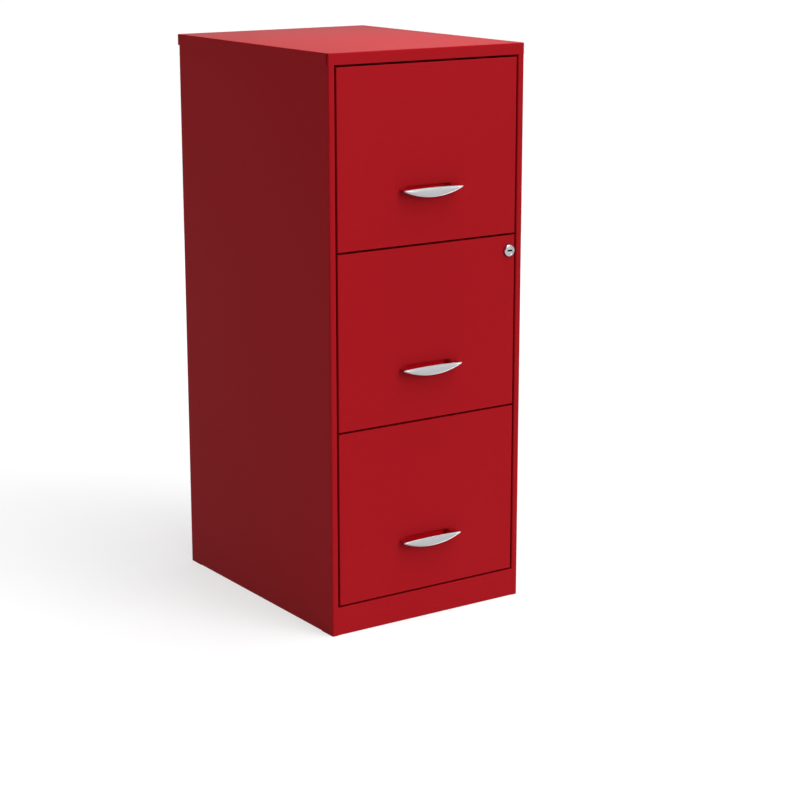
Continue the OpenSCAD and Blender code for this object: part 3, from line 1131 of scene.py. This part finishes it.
@dataclass
class Lock:
    """The cam lock's turned housing and core, with a key slot and an index mark."""

    ring_r: float = 9.6
    shoulder_r: float = 1.7
    shoulder_steps: int = 6
    edge_r: float = 0.3
    barrel_r: float = 8.0
    bore_r: float = 6.26
    core_r: float = 6.2
    slot_w: float = 9.4
    slot_h: float = 2.8
    slot_d: float = 6.0
    clip_t: float = 1.5
    clip_seat_r: float = 7.2
    clip_y: float = 0.6
    mark_r: float = 0.8
    mark_d: float = 0.5

    def __post_init__(self) -> None:
        """Measures the frame's lock."""
        self.room = Room.of("lock_housing")
        self.core_room = Room.of("lock_core")
        self.panel = Room.of("middle_drawer_front").front
        self.x, _, self.z = self.room.middle

    def housing(self) -> None:
        """Turns the ring and barrel in one, with the clip's groove, and drills the mark."""
        face, rear, groove = self.room.front, self.room.rear, self.panel + self.clip_y
        steps = self.shoulder_steps
        turns = [math.radians(90.0 * step / steps) for step in range(steps + 1)]
        flat, arc_r = self.ring_r - self.shoulder_r, self.shoulder_r
        shoulder = [(face + arc_r * (1 - math.cos(turn)), flat + arc_r * math.sin(turn)) for turn in turns]
        outline = [
            (face, self.bore_r), *shoulder, (self.panel, self.ring_r), (self.panel, self.barrel_r),
            (groove, self.barrel_r), (groove, self.clip_seat_r), (groove + self.clip_t, self.clip_seat_r),
            (groove + self.clip_t, self.barrel_r), (rear, self.barrel_r), (rear, self.bore_r),
            (face, self.bore_r),
        ]
        ring = Bench.turned("lock_ring", Axis.Y, (self.x, 0.0, self.z), outline, steps=64)
        ring.soften(self.edge_r, steps=3)
        spot = (self.x, 0.0, self.z + (self.ring_r + self.bore_r) / 2)
        ends = (face - PAST, face + self.mark_d)
        tip = [(ends[0], 0.0), (ends[0], self.mark_r), (ends[1], self.mark_r), (ends[1], 0.0)]
        ring.combine(Bench.turned("mark_drill", Axis.Y, spot, tip, steps=16))
        ring.hand_in("middle_drawer", "lock_chrome", "lock_housing")
        radius, level = self.mark_r + NEAR, spot[2]
        across, tall = (self.x - radius, self.x + radius), (level - radius, level + radius)
        # The mark's dimple is painted near black.
        ring.paint_inside(Finish.KEYWAY, at(across, (face, ends[1]), tall))

    def core(self) -> None:
        """Turns the core and mills its key slot."""
        face, rear = self.core_room.front, self.core_room.rear
        outline = [(face, 0.0), (face, self.core_r), (rear, self.core_r), (rear, 0.0)]
        core = Bench.turned("lock_core_plug", Axis.Y, (self.x, 0.0, self.z), outline, steps=64)
        core.soften(self.edge_r)
        across = (self.x - self.slot_w / 2, self.x + self.slot_w / 2)
        tall = (self.z - self.slot_h / 2, self.z + self.slot_h / 2)
        end = face + self.slot_d
        core.combine(Bench.block("key_slot", (across[0], face - PAST, tall[0]), (across[1], end, tall[1])))
        core.hand_in("lock_barrel", "lock_chrome", "lock_core")
        # The key slot's inner faces are painted near black: painted shade in the slot.
        core.paint_inside(Finish.KEYWAY, at(across, (face, end), tall))

    def build(self) -> None:
        """Makes the housing and the core."""
        self.housing()
        self.core()


@dataclass
class Runners:
    """The drawers' runners: a channel and an angle on each side, with a nylon roller on each."""

    gauge: float = 1.0
    bend_r: float = 1.5
    flange_start: float = 36.0
    flange_end: float = 420.4
    flange_gap: float = 2.0
    pin_r: float = 2.5
    pin_head_r: float = 4.5
    pin_head_t: float = 1.2
    pin_slack: float = 0.3
    pin_edge_r: float = 0.25
    collar_r: float = 3.7
    roller_bore_r: float = 2.55
    roller_rim: float = 2.0
    roller_hub_r: float = 4.3
    roller_dish: float = 1.2
    roller_edge_r: float = 0.3

    def channel(self) -> Bench:
        """Folds the pattern for the case's channels, at the right of the bottom drawer.

        Returns:
            The pattern on the bench.
        """
        room, half = Room.of("right_cabinet_rail_bottom"), self.gauge / 2
        front = Room.of("kick_plate").front
        web, low, top = room.right - half, room.bottom + half, room.top - half
        first, last = front + self.flange_start, front + self.flange_end
        rail = Bench.strip("channel_pattern", (web, room.front, low), (web, room.rear, top))
        rail.cut(y=first).cut(y=last)
        for edge in (low, top):
            rail.pick(Part.EDGES, at(web, (first, last), edge)).extrude(x=room.left - web)
        rail.pick_folds(at()).bevel(self.bend_r - half)
        return rail.thicken(self.gauge)

    def angle(self) -> Bench:
        """Folds the pattern for the drawers' angles, whose flange stops short of the roller.

        Returns:
            The pattern on the bench.
        """
        room, half = Room.of("right_drawer_rail_bottom"), self.gauge / 2
        roller = Room.of("right_drawer_roller_bottom")
        web, top = room.left + half, room.top - half
        last = roller.front - self.flange_gap
        rail = Bench.strip("angle_pattern", (web, room.front, room.bottom), (web, room.rear, top))
        rail.cut(y=last)
        rail.pick(Part.EDGES, at(web, (room.front, last), top)).extrude(x=room.right - web)
        rail.pick_folds(at()).bevel(self.bend_r - half)
        return rail.thicken(self.gauge)

    def roller(self) -> Bench:
        """Turns the pattern for the rollers, dished on both faces.

        Returns:
            The pattern on the bench.
        """
        room = Room.of("right_cabinet_roller_bottom")
        _, y, z = room.middle
        left, right, rim = room.left, room.right, (room.top - room.bottom) / 2
        dish, inner = self.roller_dish, rim - self.roller_rim
        outline = [
            (left, self.roller_bore_r), (left, self.roller_hub_r), (left + dish, self.roller_hub_r),
            (left + dish, inner), (left, inner), (left, rim), (right, rim), (right, inner),
            (right - dish, inner), (right - dish, self.roller_hub_r), (right, self.roller_hub_r),
            (right, self.roller_bore_r), (left, self.roller_bore_r),
        ]
        return Bench.turned("wheel_pattern", Axis.X, (0.0, y, z), outline).soften(self.roller_edge_r)

    def pin(self, head: float, seat: float, end: float) -> Bench:
        """Turns a riveted pin at the right bottom roller.

        Args:
            head: where the outer face of its head is along X.
            seat: where its collar ends, against the roller's side.
            end: where its shank ends in the rail.

        Returns:
            The pin on the bench.
        """
        _, y, z = Room.of("right_cabinet_roller_bottom").middle
        way = 1.0 if end > head else -1.0
        under, foot = head + way * self.pin_head_t, end - way * self.gauge
        outline = [
            (head, 0.0), (head, self.pin_head_r), (under, self.pin_head_r), (under, self.pin_r),
            (seat, self.pin_r), (seat, self.collar_r), (foot, self.collar_r), (foot, self.pin_r),
            (end, self.pin_r), (end, 0.0),
        ]
        return Bench.turned("pin_pattern", Axis.X, (0.0, y, z), outline, steps=32).soften(self.pin_edge_r)

    def build(self) -> None:
        """Makes one of each piece and copies it to every drawer and side."""
        case_pins, drawer_pins = Room.of("cabinet_roller_pins"), Room.of("bottom_drawer_roller_pins")
        case_wheel = Room.of("right_cabinet_roller_bottom")
        drawer_wheel = Room.of("right_drawer_roller_bottom")
        web, tray = Room.of("right_cabinet_rail_bottom"), Room.of("right_drawer_rail_bottom")
        channel, angle, wheel = self.channel(), self.angle(), self.roller()
        inner, outer = case_wheel.left - self.pin_slack, case_wheel.right + self.pin_slack
        case_pin = self.pin(inner - self.pin_head_t, outer, case_pins.right)
        drawer_pin = self.pin(drawer_pins.right, drawer_wheel.left - self.pin_slack, tray.left)
        across = drawer_wheel.middle[0] - case_wheel.middle[0]
        back = drawer_wheel.middle[1] - case_wheel.middle[1]
        for drawer in ("bottom", "middle", "top"):
            up = Room.of(f"right_cabinet_rail_{drawer}").bottom - web.bottom
            here, behind, box = (0.0, 0.0, up), (0.0, back, up), f"{drawer}_drawer"
            for side in ("right", "left"):
                mirrored = side == "left"
                there = (-across if mirrored else across, back, up)
                case_roller = f"{side}_cabinet_roller_{drawer}"
                drawer_roller = f"{side}_drawer_roller_{drawer}"
                rows = [
                    (channel, "channel", here, "cabinet", "zinc_steel", f"{side}_cabinet_rail_{drawer}"),
                    (angle, "angle", here, box, "zinc_steel", f"{side}_drawer_rail_{drawer}"),
                    (wheel, "cabinet_wheel", here, case_roller, "roller_nylon", case_roller),
                    (wheel, "drawer_wheel", there, drawer_roller, "roller_nylon", drawer_roller),
                    (case_pin, "cabinet_pin", here, "cabinet", "zinc_steel", "cabinet_roller_pins"),
                    (drawer_pin, "drawer_pin", behind, box, "zinc_steel", f"{drawer}_drawer_roller_pins"),
                ]
                for made, name, shift, body, slot, node in rows:
                    made.copy(f"{side}_{name}_{drawer}", shift, mirrored).hand_in(body, slot, node)
        for made in (channel, angle, wheel, case_pin, drawer_pin):
            bpy.data.objects.remove(made.piece, do_unlink=True)


# ---------------------------------------------------------------- studio


class LampKind(Enum):
    """The kinds of lamp."""

    SUN = "SUN"
    AREA = "AREA"


@dataclass(frozen=True)
class Lamp:
    """One soft lamp that shines at the cabinet from a place or, for a sun, a direction, in metres."""

    name: str
    kind: LampKind
    place: Point
    power: float
    spread: float
    aim_height: float = 0.9

    def hang(self) -> None:
        """Adds the lamp; its spread is a sun's angle in degrees or an area light's side."""
        bpy.ops.object.light_add(type=self.kind.value, location=self.place)
        lamp = bpy.context.active_object
        lamp.name = self.name
        lamp.data.energy = self.power
        aim = Vector(self.place)
        if self.kind is LampKind.SUN:
            lamp.data.angle = math.radians(self.spread)
        else:
            lamp.data.size = self.spread
            lamp.visible_camera = False
            aim -= Vector((0.0, 0.0, self.aim_height))
        lamp.rotation_euler = aim.to_track_quat("Z", "Y").to_euler()


@dataclass
class Studio:
    """A seamless pale floor, soft light from the front and above, and the camera, in metres."""

    floor_size: float = 80.0
    eye: Point = (-1.8208, -2.8174, 1.1579)
    yaw: float = 34.247
    pitch: float = -14.191
    lens: float = 93.995
    sky: float = 0.12
    backdrop: float = 1.0

    def floor(self) -> None:
        """Lays the floor."""
        bpy.ops.mesh.primitive_plane_add(size=self.floor_size)
        floor = bpy.context.active_object
        floor.name = "studio_floor"
        floor.data.materials.append(FINISHES.get(Finish.FLOOR))

    def lights(self) -> None:
        """Hangs the lamps."""
        Lamp("front_softbox", LampKind.SUN, (0.38, -0.85, 0.42), 1.85, 40.0).hang()
        Lamp("overhead_softbox", LampKind.SUN, (0.16, -0.28, 0.95), 2.70, 50.0).hang()
        Lamp("front_edge_lamp", LampKind.AREA, (0.05, -0.18, 1.35), 3.2, 0.3).hang()
        Lamp("rear_panel", LampKind.AREA, (1.90, 2.90, 1.05), 14.0, 2.0).hang()

    def room(self) -> None:
        """Lights the room dimly from all round, behind a backdrop that looks white."""
        world = bpy.context.scene.world or bpy.data.worlds.new("studio")
        bpy.context.scene.world = world
        world.use_nodes = True
        tree = world.node_tree
        path = tree.nodes.new("ShaderNodeLightPath")
        level = tree.nodes.new("ShaderNodeMapRange")
        level.inputs["To Min"].default_value = self.sky
        level.inputs["To Max"].default_value = self.backdrop
        tree.links.new(path.outputs["Is Camera Ray"], level.inputs["Value"])
        tree.links.new(level.outputs["Result"], tree.nodes["Background"].inputs["Strength"])
        tree.nodes["Background"].inputs["Color"].default_value = (1.0, 1.0, 1.0, 1.0)
        bpy.context.scene.view_settings.view_transform = "Standard"

    def camera(self) -> None:
        """Sets up the camera, level across and turned by its yaw and pitch."""
        turn = Euler((math.radians(90.0 + self.pitch), 0.0, math.radians(-self.yaw)))
        bpy.ops.object.camera_add(location=self.eye, rotation=turn)
        camera = bpy.context.active_object
        camera.data.lens = self.lens
        bpy.context.scene.camera = camera

    def build(self) -> None:
        """Makes the floor, lights and camera."""
        self.floor()
        self.lights()
        self.room()
        self.camera()


# ---------------------------------------------------------------- the whole cabinet


def dress_frame() -> None:
    """Finishes the frame nodes that stay: the flat sheets, the lock's clip and its cam."""
    for row in frame["record"]["subparts"]:
        node = frame["nodes"][row["node"]]
        node.data.materials.clear()
        node.data.materials.append(FINISHES.get(SLOT_FINISH[row["material_slot"]]))


def main() -> None:
    """Builds the cabinet, then its studio."""
    logging.basicConfig(level=logging.INFO, format="%(name)s: %(message)s")
    pull = Pull()
    dress_frame()
    for assembly in (Case(), pull, Drawers(pull), Lock(), Runners(), Studio()):
        assembly.build()


if __name__ == "__main__":
    main()
